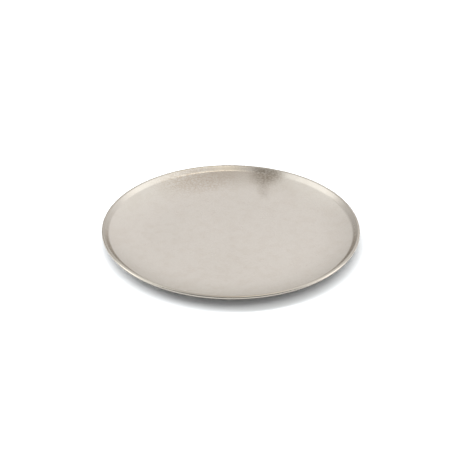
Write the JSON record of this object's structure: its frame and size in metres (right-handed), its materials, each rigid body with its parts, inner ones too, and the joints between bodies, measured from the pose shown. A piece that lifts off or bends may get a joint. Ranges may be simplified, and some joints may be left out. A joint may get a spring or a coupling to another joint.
{
  "type": "plate",
  "caption": "Shallow round metal plate with a gently rising wall, a raised lip and a rolled edge, for serving or for standing candles on.",
  "frame": {"origin": "on the resting plane, on the axis of the plate: the centre of the bottom of its box", "axes": "+Z is the axis of the plate, up out of the dish. The plate is round, so +X and +Y are any two directions across it"},
  "size_m": [0.2, 0.2, 0.009],
  "materials": {
    "satin_nickel": "satin, lathe-turned, nickel-plated",
    "steel_wire": "bright drawn"
  },
  "bodies": {
    "root": {"dish": "satin_nickel", "rim_wire": "steel_wire"}
  },
  "joints": []
}
